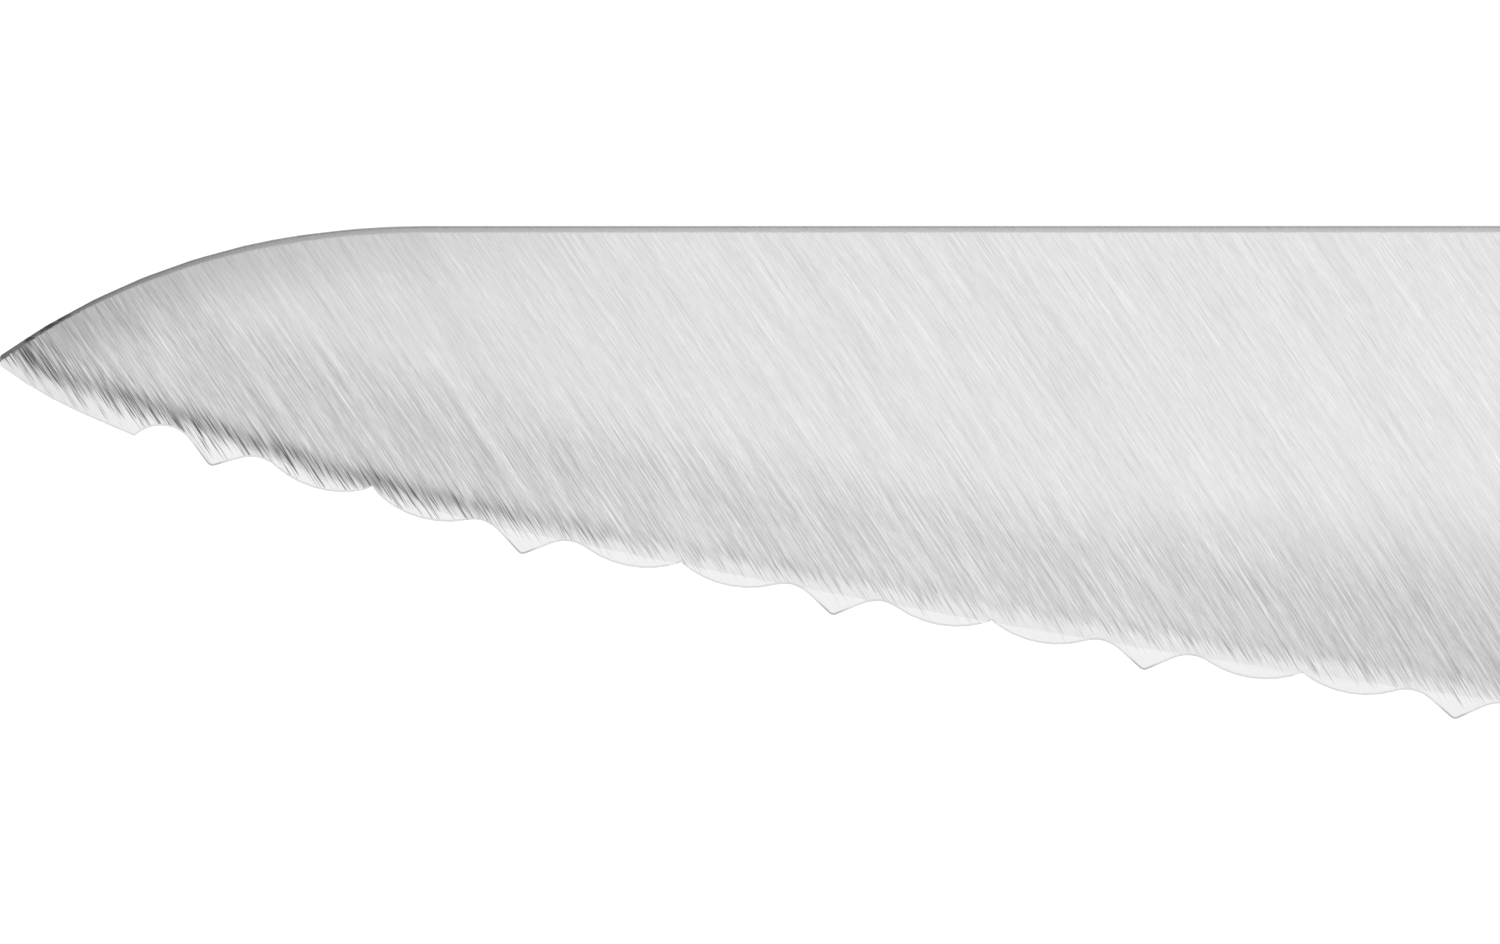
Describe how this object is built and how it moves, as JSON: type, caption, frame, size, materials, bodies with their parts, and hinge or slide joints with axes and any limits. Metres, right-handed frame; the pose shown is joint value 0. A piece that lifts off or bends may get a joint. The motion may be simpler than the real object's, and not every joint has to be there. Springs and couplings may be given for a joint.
{
  "type": "tomato knife",
  "caption": "Small kitchen knife with a pointed, scallop-serrated blade, half bolster and full tang between two riveted handle scales.",
  "frame": {"origin": "centre of the box's bottom face, on the surface that the knife lies on, under its middle", "axes": "+X from the tip towards the butt of the handle, +Y from the cutting edge towards the spine, +Z out of the blade's left face"},
  "size_m": [0.247, 0.0304, 0.015],
  "materials": {
    "blade_steel": "fine ground stainless steel, grind lines slanting from the spine down towards the heel, brighter polished edge",
    "handle_plastic": "black moulded plastic, ground flush and satin finished",
    "rivet_steel": "stainless steel, ground flush with the scales"
  },
  "bodies": {
    "root": {"blade": "blade_steel", "left_scale": "handle_plastic", "right_scale": "handle_plastic", "front_rivet_socket": "rivet_steel", "front_rivet_post": "rivet_steel", "middle_rivet_socket": "rivet_steel", "middle_rivet_post": "rivet_steel", "rear_rivet_socket": "rivet_steel", "rear_rivet_post": "rivet_steel"}
  },
  "joints": []
}
